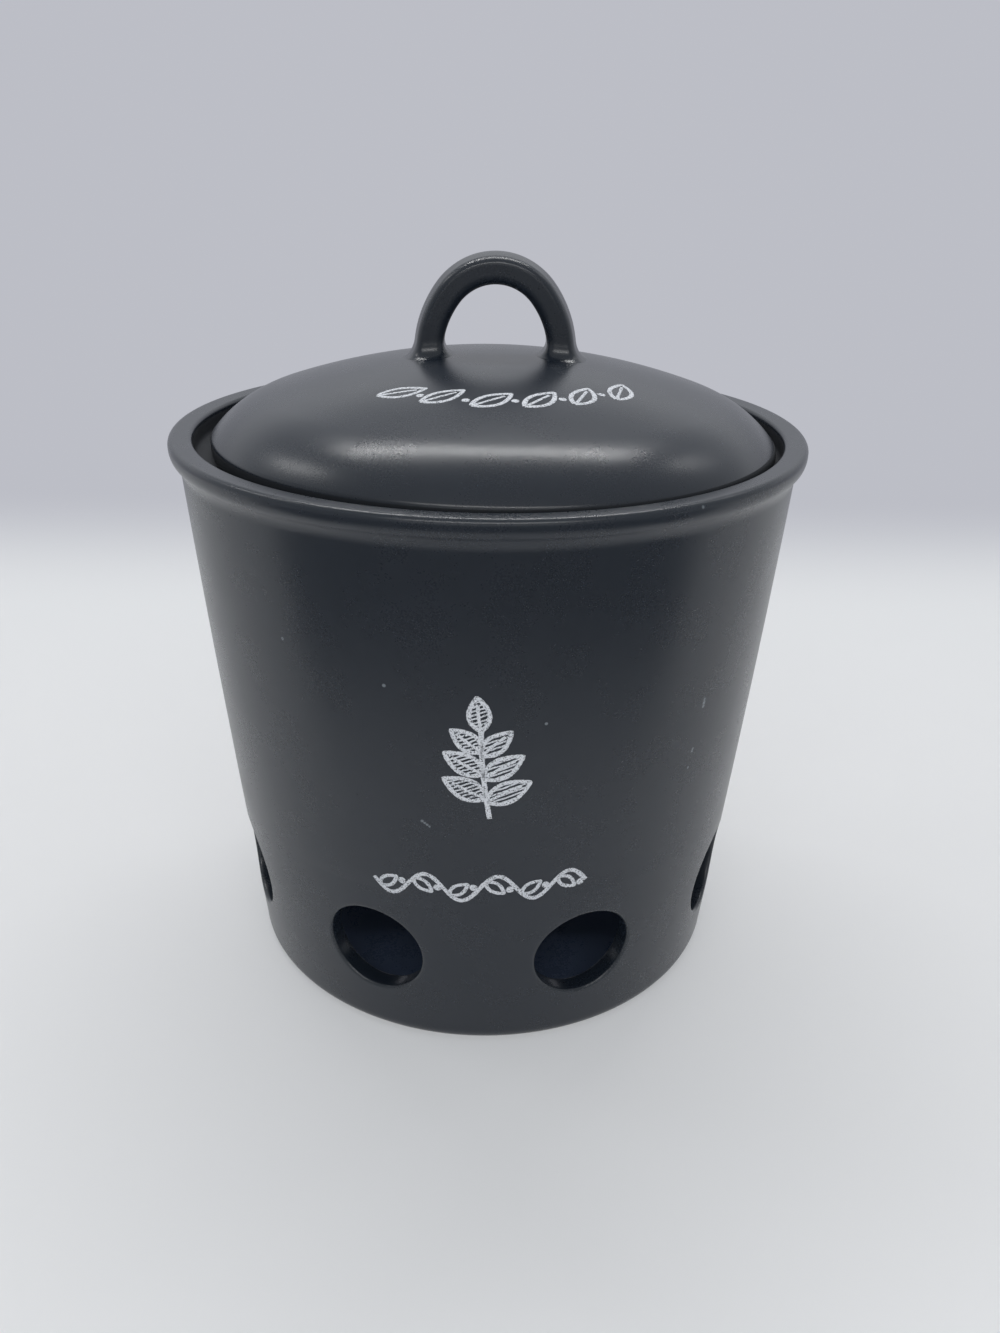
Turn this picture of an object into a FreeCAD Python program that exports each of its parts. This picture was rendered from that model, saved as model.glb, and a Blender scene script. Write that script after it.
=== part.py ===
"""A ventilated stoneware garlic keeper: a tapered pot, a domed lid that drops
into a gallery inside the rim, and an arched handle luted on to the lid.

Millimetres and degrees. Z is up, the pot stands on Z = 0 with its axis on Z,
and -Y is the front, between two vents. The lid and its handle are drawn from
the lid's seat, the flat ring that rests on the pot's ledge.
"""
import FreeCAD, Part
import math
import os
from types import SimpleNamespace

import Sketcher
from FreeCAD import Placement, Rotation, Vector

SIZES = {
    # Pot, outside
    "rim_radius": 70.0,
    "rim_height": 128.7,
    "rim_width": 5.1,
    "bead_radius": 3.2,
    "cove_radius": 5.0,
    "neck_inset": 2.36,
    "neck_drop": 11.0,
    "base_radius": 58.2,
    "wall_bow": 4050.0,
    "foot_round": 3.5,
    # Pot, inside and underneath
    "wall": 4.6,
    "floor": 5.0,
    "inner_round": 5.0,
    "foot_recess": 2.0,
    "foot_ring_inset": 9.0,
    # Gallery that carries the lid
    "ledge_depth": 5.9,
    "ledge_width": 6.1,
    "ledge_thickness": 4.0,
    "ledge_round": 1.2,
    "gallery_round": 1.0,
    # Vents
    "vent_count": 8,
    "vent_diameter": 22.3,
    "vent_height": 24.2,
    "vent_turn": -1.1,
    "vent_edge": 0.8,
    # Lid
    "lid_gap": 2.5,
    "lid_wall": 5.0,
    "lid_edge_height": 3.7,
    "lid_rise": 16.6,
    "lid_shoulder_radius": 36.0,
    "lid_edge_radius": 3.0,
    "lid_edge_turn": 48.0,
    "lid_lower_round": 1.5,
    "lid_inner_round": 12.0,
    "flange_gap": 1.8,
    "flange_depth": 6.0,
    "flange_width": 4.0,
    "flange_root": 1.0,
    "lid_shift_right": 1.1,
    "lid_shift_back": 0.5,
    # Handle
    "handle_span": 29.4,
    "handle_rise": 18.15,
    "handle_crown_turn": 105.0,
    "handle_thickness": 6.55,
    "handle_width": 8.6,
    "handle_corner": 2.3,
    "handle_root": 3.0,
    "foot_flare": 2.4,
    "foot_sink": 0.25,
}
S = SimpleNamespace(**SIZES)

LEDGE_HEIGHT = "Sizes.rim_height - Sizes.ledge_depth"
GALLERY_RADIUS = "Sizes.rim_radius - Sizes.rim_width"
BORE_RADIUS = GALLERY_RADIUS + " - Sizes.ledge_width"
LID_TOP = "Sizes.lid_edge_height + Sizes.lid_rise"

# The handle's collar reaches past each flared foot, so the flare ends on its slope.
COLLAR_SHARE = 1.5
COLLAR_REACH = "Sizes.handle_thickness / 2 + %s * Sizes.foot_flare" % COLLAR_SHARE

ORIGIN = (-1, 1)
TOUCH = 1e-3
SAMPLES = 7


class Outline:
    """A run of lines and arcs in one sketch, each step tied to the one before it.

    An arc whose last angle is smaller than its first is walked clockwise. A
    smooth step leaves the one before it along the same tangent.
    """

    def __init__(self, body, name, plane):
        self.sketch = body.newObject("Sketcher::SketchObject", name)
        self.sketch.AttachmentSupport = (origin_feature(body, plane + "_Plane"), [""])
        self.sketch.MapMode = "FlatFace"
        self.steps = {}

    def line(self, start, end, smooth=False):
        edge = Part.LineSegment(Vector(*start, 0), Vector(*end, 0))
        return self._step(edge, 1, 2, smooth)

    def arc(self, centre, radius, first, last, smooth=True):
        circle = Part.Circle(Vector(*centre, 0), Vector(0, 0, 1), radius)
        low, high = sorted((math.radians(first), math.radians(last)))
        ends = (1, 2) if last > first else (2, 1)
        return self._step(Part.ArcOfCircle(circle, low, high), *ends, smooth)

    def circle(self, centre, radius):
        edge = Part.Circle(Vector(*centre, 0), Vector(0, 0, 1), radius)
        return self.sketch.addGeometry(edge, False)

    def mark(self, x, z):
        """A loose point that helps to place a curve."""
        return self.sketch.addGeometry(Part.Point(Vector(x, z, 0)), True), 1

    def stay(self, start, end):
        """A line that holds other parts in place and isn't cut or filled."""
        return self.sketch.addGeometry(Part.LineSegment(Vector(*start, 0), Vector(*end, 0)), True)

    def _step(self, edge, head, tail, smooth):
        number = self.sketch.addGeometry(edge, False)
        self.steps[number] = SimpleNamespace(head=head, tail=tail, smooth=smooth)
        return number

    def head(self, number):
        return number, self.steps[number].head

    def tail(self, number):
        return number, self.steps[number].tail

    def centre(self, number):
        return number, 3

    def join(self, closed=True):
        """Tie the head of every step to the tail of the step before it."""
        numbers = list(self.steps)
        for i, number in enumerate(numbers):
            if i or closed:
                kind = "Tangent" if self.steps[number].smooth else "Coincident"
                self.rule(kind, *self.tail(numbers[i - 1]), *self.head(number))

    def rule(self, *words):
        return self.sketch.addConstraint(Sketcher.Constraint(*words))

    def level(self, *numbers):
        for number in numbers:
            self.rule("Horizontal", number)

    def upright(self, *numbers):
        for number in numbers:
            self.rule("Vertical", number)

    def on(self, curve, *points):
        for point in points:
            self.rule("PointOnObject", *point, curve)

    def on_ground(self, *points):
        """Hold points at height 0, on the line that a sketch counts as curve -1."""
        self.on(-1, *points)

    def on_axis(self, *points):
        """Hold points on the upright axis, which a sketch counts as curve -2."""
        self.on(-2, *points)

    def size(self, name, formula, kind, *where):
        """One dimension, added at its drawn value and bound to a formula."""
        number = self.rule(kind, *where, self._drawn(kind, where))
        self.sketch.renameConstraint(number, name)
        self.sketch.setExpression("Constraints." + name, formula)

    def read(self, name, kind, *where):
        """One dimension that follows the outline, for others to use."""
        number = self.rule(kind, *where, self._drawn(kind, where))
        self.sketch.setDriving(number, False)
        self.sketch.renameConstraint(number, name)

    def _drawn(self, kind, where):
        if kind == "Radius":
            return self.sketch.Geometry[where[0]].Radius
        if kind == "Distance":
            return self.sketch.Geometry[where[0]].length()
        if kind == "Angle":
            edge = self.sketch.Geometry[where[0]]
            return edge.LastParameter - edge.FirstParameter
        start = self.sketch.getPoint(*where[:2])
        end = self.sketch.getPoint(*where[2:])
        return end.x - start.x if kind == "DistanceX" else end.y - start.y

    def radius(self, name, formula, number):
        self.size(name, formula, "Radius", number)

    def across(self, name, formula, end, start=ORIGIN):
        self.size(name, formula, "DistanceX", *start, *end)

    def up(self, name, formula, end, start=ORIGIN):
        self.size(name, formula, "DistanceY", *start, *end)


def origin_feature(body, role):
    return next(f for f in body.Origin.OriginFeatures if f.Role == role)


def meet(first, first_radius, second, second_radius):
    """The two points where two circles cross."""
    gap = math.dist(first, second)
    along = (gap ** 2 + first_radius ** 2 - second_radius ** 2) / (2 * gap)
    off = math.sqrt(first_radius ** 2 - along ** 2)
    ux, uz = (second[0] - first[0]) / gap, (second[1] - first[1]) / gap
    x, z = first[0] + along * ux, first[1] + along * uz
    return (x - off * uz, z + off * ux), (x + off * uz, z - off * ux)


def reach(centre, radius, z):
    """How far out a circle lies at one height."""
    return centre[0] + math.sqrt(radius ** 2 - (z - centre[1]) ** 2)


def rise(centre, radius, x):
    """How high a circle lies at one distance out."""
    return centre[1] + math.sqrt(radius ** 2 - (x - centre[0]) ** 2)


def bearing(start, end):
    """The direction from one point to another, in degrees anticlockwise."""
    return math.degrees(math.atan2(end[1] - start[1], end[0] - start[0]))


def height(point):
    return point[1]


def new_body(doc, name):
    body = doc.addObject("PartDesign::Body", name)
    body.Label = name
    return body


def spin(body, name, outline):
    """Turn an outline once round the body's upright axis."""
    feature = body.newObject("PartDesign::Revolution", name)
    feature.Profile = outline.sketch
    feature.ReferenceAxis = (outline.sketch, ["V_Axis"])
    feature.Angle = 360
    body.Document.recompute()
    return feature


def round_edges(body, name, base, wanted, formula):
    """Round every edge of the base feature that the test picks by points on it."""
    names = []
    for i, edge in enumerate(base.Shape.Edges, start=1):
        if not edge.Degenerated and wanted(edge.discretize(Number=SAMPLES)):
            names.append("Edge%d" % i)
    feature = body.newObject("PartDesign::Fillet", name)
    feature.Base = (base, names)
    feature.setExpression("Radius", formula)
    body.Document.recompute()
    return feature


def draw_pot(body):
    """Half the pot's section: foot, wall, rolled rim, gallery, inside and floor."""
    bead = (S.rim_radius - S.bead_radius, S.rim_height - S.bead_radius)
    gallery = S.rim_radius - S.rim_width
    lip = S.rim_width - S.bead_radius
    ledge = S.rim_height - S.ledge_depth
    bore = gallery - S.ledge_width
    under = ledge - S.ledge_thickness
    floor_top = S.foot_recess + S.floor
    ring = S.base_radius - S.foot_ring_inset
    neck = (S.rim_radius - S.neck_inset, S.rim_height - S.neck_drop)

    bow = min(meet((S.base_radius, 0), S.wall_bow, neck, S.wall_bow))
    inner_bow = S.wall_bow - S.wall
    foot = (reach(bow, S.wall_bow - S.foot_round, S.foot_round), S.foot_round)
    bead_reach = S.bead_radius + S.cove_radius
    cove = min(meet(bow, S.wall_bow + S.cove_radius, bead, bead_reach), key=height)
    haunch_radius = reach(bow, inner_bow, under) - bore
    haunch = (bore, under - haunch_radius)
    inner_z = floor_top + S.inner_round
    inner = (reach(bow, inner_bow - S.inner_round, inner_z), inner_z)
    corner = (gallery - S.gallery_round, ledge + S.gallery_round)
    edge = (bore + S.ledge_round, ledge - S.ledge_round)

    o = Outline(body, "pot_outline", "XZ")
    underside = o.line((0, S.foot_recess), (ring - S.foot_recess, S.foot_recess))
    bevel = o.line((ring - S.foot_recess, S.foot_recess), (ring, 0))
    foot_ring = o.line((ring, 0), (foot[0], 0))
    foot_arc = o.arc(foot, S.foot_round, -90, bearing(bow, foot))
    wall = o.arc(bow, S.wall_bow, bearing(bow, foot), bearing(bow, cove))
    cove_arc = o.arc(cove, S.cove_radius, bearing(cove, bow) % 360, bearing(cove, bead))
    bead_arc = o.arc(bead, S.bead_radius, bearing(bead, cove), 90)
    o.arc((gallery + lip, S.rim_height - lip), lip, 90, 180)
    gallery_side = o.line((gallery, S.rim_height - lip), (gallery, corner[1]), True)
    gallery_arc = o.arc(corner, S.gallery_round, 0, -90)
    seat = o.line((corner[0], ledge), (edge[0], ledge), True)
    ledge_arc = o.arc(edge, S.ledge_round, 90, 180)
    bore_side = o.line((bore, edge[1]), (bore, under), True)
    haunch_arc = o.arc(haunch, haunch_radius, 90, bearing(bow, haunch), False)
    inside = o.arc(bow, inner_bow, bearing(bow, haunch), bearing(bow, inner))
    inner_arc = o.arc(inner, S.inner_round, bearing(bow, inner), -90)
    floor = o.line((inner[0], floor_top), (0, floor_top), True)
    axis = o.line((0, floor_top), (0, S.foot_recess))
    o.join()

    o.level(underside, foot_ring, seat, floor)
    o.upright(gallery_side, bore_side, axis)
    o.on_axis(o.head(underside))
    o.on_ground(o.head(foot_ring))
    o.rule("Vertical", *o.centre(bead_arc), *o.tail(bead_arc))
    o.rule("Vertical", *o.centre(haunch_arc), *o.head(haunch_arc))
    o.rule("Coincident", *o.centre(inside), *o.centre(wall))

    o.up("recess", "Sizes.foot_recess", o.head(underside))
    o.across("bevel", "Sizes.foot_recess", o.tail(bevel), o.head(bevel))
    o.across("ring", "Sizes.base_radius - Sizes.foot_ring_inset", o.tail(bevel))
    o.radius("foot", "Sizes.foot_round", foot_arc)
    o.radius("bow", "Sizes.wall_bow", wall)
    base_mark = o.mark(S.base_radius, 0)
    neck_mark = o.mark(*neck)
    o.on(wall, base_mark, neck_mark)
    o.on_ground(base_mark)
    o.across("base", "Sizes.base_radius", base_mark)
    o.across("neck", "Sizes.rim_radius - Sizes.neck_inset", neck_mark)
    o.up("neck_height", "Sizes.rim_height - Sizes.neck_drop", neck_mark)
    o.radius("cove", "Sizes.cove_radius", cove_arc)
    o.radius("bead", "Sizes.bead_radius", bead_arc)
    o.across("rim", "Sizes.rim_radius - Sizes.bead_radius", o.centre(bead_arc))
    o.up("rim_height", "Sizes.rim_height - Sizes.bead_radius", o.centre(bead_arc))
    o.across("gallery", GALLERY_RADIUS, o.head(gallery_side))
    o.radius("gallery_round", "Sizes.gallery_round", gallery_arc)
    o.up("ledge", LEDGE_HEIGHT, o.head(seat))
    o.radius("ledge_round", "Sizes.ledge_round", ledge_arc)
    o.across("bore", BORE_RADIUS, o.head(bore_side))
    o.up("ledge_thickness", "Sizes.ledge_thickness", o.tail(seat), o.tail(bore_side))
    o.radius("inside_bow", "Sizes.wall_bow - Sizes.wall", inside)
    o.radius("inner_round", "Sizes.inner_round", inner_arc)
    o.up("floor", "Sizes.foot_recess + Sizes.floor", o.head(floor))
    return o


def cut_vents(body):
    """A ring of round vents through the wall, just above the floor."""
    first = 180 / S.vent_count + S.vent_turn
    o = Outline(body, "vent_outline", "XZ")
    rim = o.circle((0, S.vent_height), S.vent_diameter / 2)
    o.on_axis(o.centre(rim))
    o.up("height", "Sizes.vent_height", o.centre(rim))
    o.radius("radius", "Sizes.vent_diameter / 2", rim)
    o.sketch.AttachmentOffset = Placement(Vector(), Rotation(Vector(0, 1, 0), first))
    turn = "180 / Sizes.vent_count + Sizes.vent_turn"
    o.sketch.setExpression("AttachmentOffset.Rotation.Angle", turn)

    vent = body.newObject("PartDesign::Pocket", "vent")
    vent.Profile = o.sketch
    vent.Reversed = True
    vent.setExpression("Length", "Sizes.rim_radius")

    vents = body.newObject("PartDesign::PolarPattern", "vents")
    vents.Originals = [vent]
    vents.Axis = (origin_feature(body, "Z_Axis"), [""])
    vents.Angle = 360
    vents.setExpression("Occurrences", "Sizes.vent_count")
    body.Tip = vents
    body.Document.recompute()
    return vents


def on_a_vent(points):
    """True for an edge that runs round one vent, inside or out."""
    centre = Vector(0, 0, S.vent_height)
    for i in range(S.vent_count):
        turn = math.radians((i + 0.5) * 360 / S.vent_count + S.vent_turn)
        axis = Vector(math.sin(turn), -math.cos(turn), 0)
        off = [(point - centre).cross(axis).Length for point in points]
        if all(abs(distance - S.vent_diameter / 2) < TOUCH for distance in off):
            return True
    return False


def build_pot(doc):
    body = new_body(doc, "pot")
    spin(body, "pot_turned", draw_pot(body))
    vents = cut_vents(body)
    round_edges(body, "vent_edges", vents, on_a_vent, "Sizes.vent_edge")
    return body


def draw_lid(body):
    """Half the lid's section: crown, shoulder, edge, seat, flange and hollow."""
    lid_radius = S.rim_radius - S.rim_width - S.lid_gap
    flange = S.rim_radius - S.rim_width - S.ledge_width - S.flange_gap
    flange_in = flange - S.flange_width
    flange_end = S.flange_width / 2
    top = S.lid_edge_height + S.lid_rise
    turn = math.radians(S.lid_edge_turn)

    edge = (lid_radius - S.lid_edge_radius, S.lid_edge_height)
    step = S.lid_shoulder_radius - S.lid_edge_radius
    shoulder = (edge[0] - step * math.cos(turn), edge[1] - step * math.sin(turn))
    drop = top - shoulder[1]
    crown_radius = (shoulder[0] ** 2 + drop ** 2 - S.lid_shoulder_radius ** 2) / (
        2 * (drop - S.lid_shoulder_radius)
    )
    crown = (0, top - crown_radius)
    hollow = crown_radius - S.lid_wall
    inner_x = flange_in - S.lid_inner_round
    inner = (inner_x, rise(crown, hollow - S.lid_inner_round, inner_x))
    lower = (lid_radius - S.lid_lower_round, S.lid_lower_round)
    root = (flange + S.flange_root, -S.flange_root)
    end = (flange - flange_end, flange_end - S.flange_depth)

    o = Outline(body, "lid_outline", "XZ")
    crown_arc = o.arc(crown, crown_radius, 90, bearing(crown, shoulder), False)
    shoulder_arc = o.arc(
        shoulder, S.lid_shoulder_radius, bearing(crown, shoulder), S.lid_edge_turn
    )
    edge_arc = o.arc(edge, S.lid_edge_radius, S.lid_edge_turn, 0)
    side = o.line((lid_radius, edge[1]), (lid_radius, lower[1]), True)
    lower_arc = o.arc(lower, S.lid_lower_round, 0, -90)
    seat = o.line((lower[0], 0), (root[0], 0), True)
    root_arc = o.arc(root, S.flange_root, 90, 180)
    flange_side = o.line((flange, root[1]), (flange, end[1]), True)
    end_arc = o.arc(end, flange_end, 0, -180)
    inside = o.line((flange_in, end[1]), (flange_in, inner[1]), True)
    inner_arc = o.arc(inner, S.lid_inner_round, 0, bearing(crown, inner))
    hollow_arc = o.arc(crown, hollow, bearing(crown, inner), 90)
    axis = o.line((0, top - S.lid_wall), (0, top))
    o.join()

    o.level(seat)
    o.upright(side, flange_side, inside, axis)
    o.on_axis(o.head(axis), o.centre(crown_arc))
    o.on_ground(o.head(seat))
    o.rule("Coincident", *o.centre(hollow_arc), *o.centre(crown_arc))

    lid_reach = GALLERY_RADIUS + " - Sizes.lid_gap"
    flange_reach = BORE_RADIUS + " - Sizes.flange_gap"
    end_depth = "Sizes.flange_depth - Sizes.flange_width / 2"
    o.up("top", LID_TOP, o.head(crown_arc))
    o.radius("shoulder", "Sizes.lid_shoulder_radius", shoulder_arc)
    o.radius("edge", "Sizes.lid_edge_radius", edge_arc)
    o.size("edge_turn", "Sizes.lid_edge_turn", "Angle", edge_arc)
    o.up("edge_height", "Sizes.lid_edge_height", o.centre(edge_arc))
    o.across("reach", lid_reach, o.head(side))
    o.radius("lower_round", "Sizes.lid_lower_round", lower_arc)
    o.radius("root", "Sizes.flange_root", root_arc)
    o.across("flange", flange_reach, o.head(flange_side))
    o.radius("flange_end", "Sizes.flange_width / 2", end_arc)
    o.up("flange_depth", end_depth, ORIGIN, o.centre(end_arc))
    o.radius("inner_round", "Sizes.lid_inner_round", inner_arc)
    o.up("wall", "Sizes.lid_wall", o.tail(axis), o.head(axis))

    o.read("crown", "Radius", crown_arc)
    o.read("middle", "DistanceY", *o.centre(crown_arc), *ORIGIN)
    return o


def rest_on_ledge(body):
    """Stand a body of the lid on the ledge, a little to one side in the gallery."""
    body.setExpression("Placement.Base.x", "Sizes.lid_shift_right")
    body.setExpression("Placement.Base.y", "Sizes.lid_shift_back")
    body.setExpression("Placement.Base.z", LEDGE_HEIGHT)


def build_lid(doc):
    body = new_body(doc, "lid")
    spin(body, "lid_turned", draw_lid(body))
    rest_on_ledge(body)
    return body


def draw_collar(body, crown_radius):
    """A ring for the handle to stand on, its slope sunk just under the crown there."""
    top = S.lid_edge_height + S.lid_rise
    middle = (0, top - crown_radius)
    half = S.handle_span / 2
    aside = S.handle_thickness / 2 + COLLAR_SHARE * S.foot_flare
    foot = (half, rise(middle, crown_radius - S.foot_sink, half))
    fall = aside * half / (foot[1] - middle[1])
    peak = (half - aside, foot[1] + fall)
    brim = (half + aside, foot[1] - fall)
    bottom = top - S.lid_wall - S.handle_root

    o = Outline(body, "collar_outline", "XZ")
    slope = o.line(peak, brim)
    outside = o.line(brim, (brim[0], bottom))
    under = o.line((brim[0], bottom), (peak[0], bottom))
    inside = o.line((peak[0], bottom), peak)
    o.join()
    spoke = o.stay(middle, foot)
    o.upright(outside, inside)
    o.level(under)
    o.on(slope, (spoke, 2))
    o.on_axis((spoke, 1))
    o.rule("Perpendicular", slope, spoke)
    o.size("crown", "lid_outline.Constraints.crown - 1 mm * Sizes.foot_sink", "Distance", spoke)
    o.up("middle", "lid_outline.Constraints.middle", ORIGIN, (spoke, 1))
    o.across("foot", "Sizes.handle_span / 2", (spoke, 2))
    o.across("outer", COLLAR_REACH, o.tail(slope), (spoke, 2))
    o.across("inner", COLLAR_REACH, (spoke, 2), o.head(slope))
    o.up("bottom", LID_TOP + " - Sizes.lid_wall - Sizes.handle_root", o.head(inside))
    return o


def draw_arch(body, crown_radius):
    """The handle's centre line: two upright feet, two leg arcs and a tighter crown."""
    half = S.handle_span / 2
    top = S.lid_edge_height + S.lid_rise
    spring = rise((0, top - crown_radius), crown_radius, half)
    turn = 90 - S.handle_crown_turn / 2
    sine, cosine = math.sin(math.radians(turn)), math.cos(math.radians(turn))
    step = (S.handle_rise - half) / (sine + cosine - 1)
    arch_radius = half - step * (1 - cosine)
    leg_radius = arch_radius + step
    middle = (0, spring + S.handle_rise - arch_radius)

    o = Outline(body, "handle_path", "XZ")
    left_foot = o.line((-half, spring - S.handle_root), (-half, spring))
    o.arc((leg_radius - half, spring), leg_radius, 180, 180 - turn)
    arch = o.arc(middle, arch_radius, 180 - turn, turn)
    o.arc((half - leg_radius, spring), leg_radius, turn, 0)
    right_foot = o.line((half, spring), (half, spring - S.handle_root), True)
    o.join(closed=False)

    crown = o.circle((0, top - crown_radius), crown_radius)
    o.sketch.toggleConstruction(crown)
    top_mark = o.mark(0, top)
    crest_mark = o.mark(0, spring + S.handle_rise)
    o.on_axis(o.centre(crown), top_mark, o.centre(arch), crest_mark)
    o.on(crown, top_mark, o.head(right_foot))
    o.on(arch, crest_mark)
    o.upright(left_foot, right_foot)
    o.rule("Horizontal", *o.tail(left_foot), *o.head(right_foot))

    o.radius("crown", "lid_outline.Constraints.crown", crown)
    o.up("top", LID_TOP, top_mark)
    o.across("right", "Sizes.handle_span / 2", o.head(right_foot))
    o.across("left", "Sizes.handle_span / 2", ORIGIN, o.tail(left_foot))
    o.up("rise", "Sizes.handle_rise", crest_mark, o.head(right_foot))
    o.size("arch_turn", "Sizes.handle_crown_turn", "Angle", arch)
    o.up("left_root", "Sizes.handle_root", o.tail(left_foot), o.head(left_foot))
    o.up("right_root", "Sizes.handle_root", o.head(right_foot), o.tail(right_foot))
    o.read("foot_level", "DistanceY", *ORIGIN, *o.tail(right_foot))
    return o


def draw_strap(body, foot_level):
    """The strap's section, a rounded rectangle under the left foot."""
    out = S.handle_thickness / 2 - S.handle_corner
    along = S.handle_width / 2 - S.handle_corner
    o = Outline(body, "strap_section", "XY")
    sides, corners = [], []
    for quarter in range(4):
        turn = Rotation(Vector(0, 0, 1), 90 * quarter)
        a, b = (out, along) if quarter % 2 == 0 else (along, out)
        start = turn.multVec(Vector(a + S.handle_corner, -b, 0))
        end = turn.multVec(Vector(a + S.handle_corner, b, 0))
        centre = turn.multVec(Vector(a, b, 0))
        sides.append(o.line((start.x, start.y), (end.x, end.y), True))
        corners.append(
            o.arc((centre.x, centre.y), S.handle_corner, 90 * quarter, 90 * quarter + 90)
        )
    o.join()
    o.upright(sides[0], sides[2])
    o.level(sides[1], sides[3])
    for corner in corners[1:]:
        o.rule("Equal", corners[0], corner)
    o.rule("Symmetric", *o.centre(corners[0]), *o.centre(corners[2]), *ORIGIN)
    o.radius("corner", "Sizes.handle_corner", corners[0])
    o.across("thickness", "Sizes.handle_thickness", o.head(sides[0]), o.head(sides[2]))
    o.up("width", "Sizes.handle_width", o.head(sides[1]), o.head(sides[3]))

    o.sketch.AttachmentOffset = Placement(Vector(-S.handle_span / 2, 0, foot_level), Rotation())
    o.sketch.setExpression("AttachmentOffset.Base.x", "-Sizes.handle_span / 2")
    o.sketch.setExpression("AttachmentOffset.Base.z", "handle_path.Constraints.foot_level")
    return o


def build_handle(doc, crown_radius):
    """An arched strap, flared where it is luted on, cut to the lid's own crown."""
    body = new_body(doc, "lid_handle")
    collar = draw_collar(body, crown_radius)
    spin(body, "collar", collar)

    path = draw_arch(body, crown_radius)
    doc.recompute()
    strap = draw_strap(body, path.sketch.getDatum("foot_level").Value)
    arch = body.newObject("PartDesign::AdditivePipe", "arch")
    arch.Profile = strap.sketch
    arch.Spine = (path.sketch, ["Edge%d" % (i + 1) for i in range(len(path.steps))])
    body.Document.recompute()

    slope = collar.sketch.Geometry[0]
    peak, brim = slope.StartPoint, slope.EndPoint
    fall = (peak.y - brim.y) / (brim.x - peak.x)

    def round_a_foot(points):
        """True for an edge on the collar's slope, away from its two brims."""
        out = [math.hypot(point.x, point.y) for point in points]
        off = [point.z - peak.y + fall * (r - peak.x) for point, r in zip(points, out)]
        on_slope = max(map(abs, off)) < TOUCH
        return on_slope and min(out) > peak.x + TOUCH and max(out) < brim.x - TOUCH

    round_edges(body, "flared_feet", arch, round_a_foot, "Sizes.foot_flare")

    # The crown's own sphere cuts the seat, turned so that its seam misses both feet.
    seat = body.newObject("PartDesign::SubtractiveSphere", "seat")
    seat.AttachmentSupport = (origin_feature(body, "XY_Plane"), [""])
    seat.MapMode = "FlatFace"
    seat.setExpression("Radius", "lid_outline.Constraints.crown")
    seat.AttachmentOffset = Placement(Vector(), Rotation(Vector(0, 0, 1), 90))
    seat.setExpression("AttachmentOffset.Base.z", "-lid_outline.Constraints.middle")
    doc.recompute()
    rest_on_ledge(body)
    return body


def check(doc, bodies):
    """Stop if any feature failed or any piece is not one sound solid."""
    for thing in doc.Objects:
        if "Invalid" in thing.State or "Error" in thing.State:
            raise RuntimeError("%s did not build: %s" % (thing.Label, thing.State))
    for body in bodies:
        shape = body.Shape
        if shape.isNull() or not shape.isValid() or len(shape.Solids) != 1:
            raise RuntimeError("%s is not one sound solid" % body.Label)


def main():
    doc = FreeCAD.newDocument("garlic_keeper")
    sheet = doc.addObject("Spreadsheet::Sheet", "Sizes")
    for row, (name, value) in enumerate(SIZES.items(), start=1):
        sheet.set("A%d" % row, name)
        sheet.set("B%d" % row, str(value))
        sheet.setAlias("B%d" % row, name)
    doc.recompute()

    pot = build_pot(doc)
    lid = build_lid(doc)
    crown_radius = doc.getObject("lid_outline").getDatum("crown").Value
    handle = build_handle(doc, crown_radius)
    doc.recompute()

    bodies = [pot, lid, handle]
    check(doc, bodies)
    os.makedirs("parts", exist_ok=True)
    for body in bodies:
        body.Shape.exportStep(os.path.join("parts", body.Label + ".step"))
        print(body.Label, "%.1f cm3" % (body.Shape.Volume / 1000))


main()
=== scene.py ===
import math

import bmesh
import bpy
import numpy as np
from mathutils import Matrix, Vector


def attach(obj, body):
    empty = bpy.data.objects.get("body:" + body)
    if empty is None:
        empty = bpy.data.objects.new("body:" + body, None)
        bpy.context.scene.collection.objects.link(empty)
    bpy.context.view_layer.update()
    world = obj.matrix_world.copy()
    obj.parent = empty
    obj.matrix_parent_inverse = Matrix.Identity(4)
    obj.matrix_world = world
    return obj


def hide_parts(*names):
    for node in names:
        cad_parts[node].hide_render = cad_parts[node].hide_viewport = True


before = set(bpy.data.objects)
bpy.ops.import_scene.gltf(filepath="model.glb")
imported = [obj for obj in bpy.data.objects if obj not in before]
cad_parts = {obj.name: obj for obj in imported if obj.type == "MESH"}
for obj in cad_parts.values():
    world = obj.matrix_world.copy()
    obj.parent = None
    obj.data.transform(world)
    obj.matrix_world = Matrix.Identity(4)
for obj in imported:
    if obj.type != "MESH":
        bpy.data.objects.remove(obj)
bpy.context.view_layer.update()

# Every length here is in millimetres until a mesh or a light takes it.
MM = 0.001

# Pot, as the solid has it
RIM_RADIUS = 70.0
RIM_HEIGHT = 128.7
RIM_WIDTH = 5.1
BEAD_RADIUS = 3.2
COVE_RADIUS = 5.0
NECK = (RIM_RADIUS - 2.36, RIM_HEIGHT - 11.0)
BASE_RADIUS = 58.2
WALL_BOW = 4050.0
FOOT_ROUND = 3.5
WALL = 4.6
FLOOR_TOP = 7.0
INNER_ROUND = 5.0
FOOT_RECESS = 2.0
FOOT_RING = 49.2
LEDGE_HEIGHT = 122.8
BORE_RADIUS = 58.8
LEDGE_THICKNESS = 4.0
LEDGE_ROUND = 1.2
GALLERY_RADIUS = RIM_RADIUS - RIM_WIDTH
GALLERY_ROUND = 1.0

VENT_COUNT = 8
VENT_RADIUS = 11.15
VENT_HEIGHT = 24.2
VENT_TURN = -1.1
VENT_EDGE = 0.8

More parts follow.
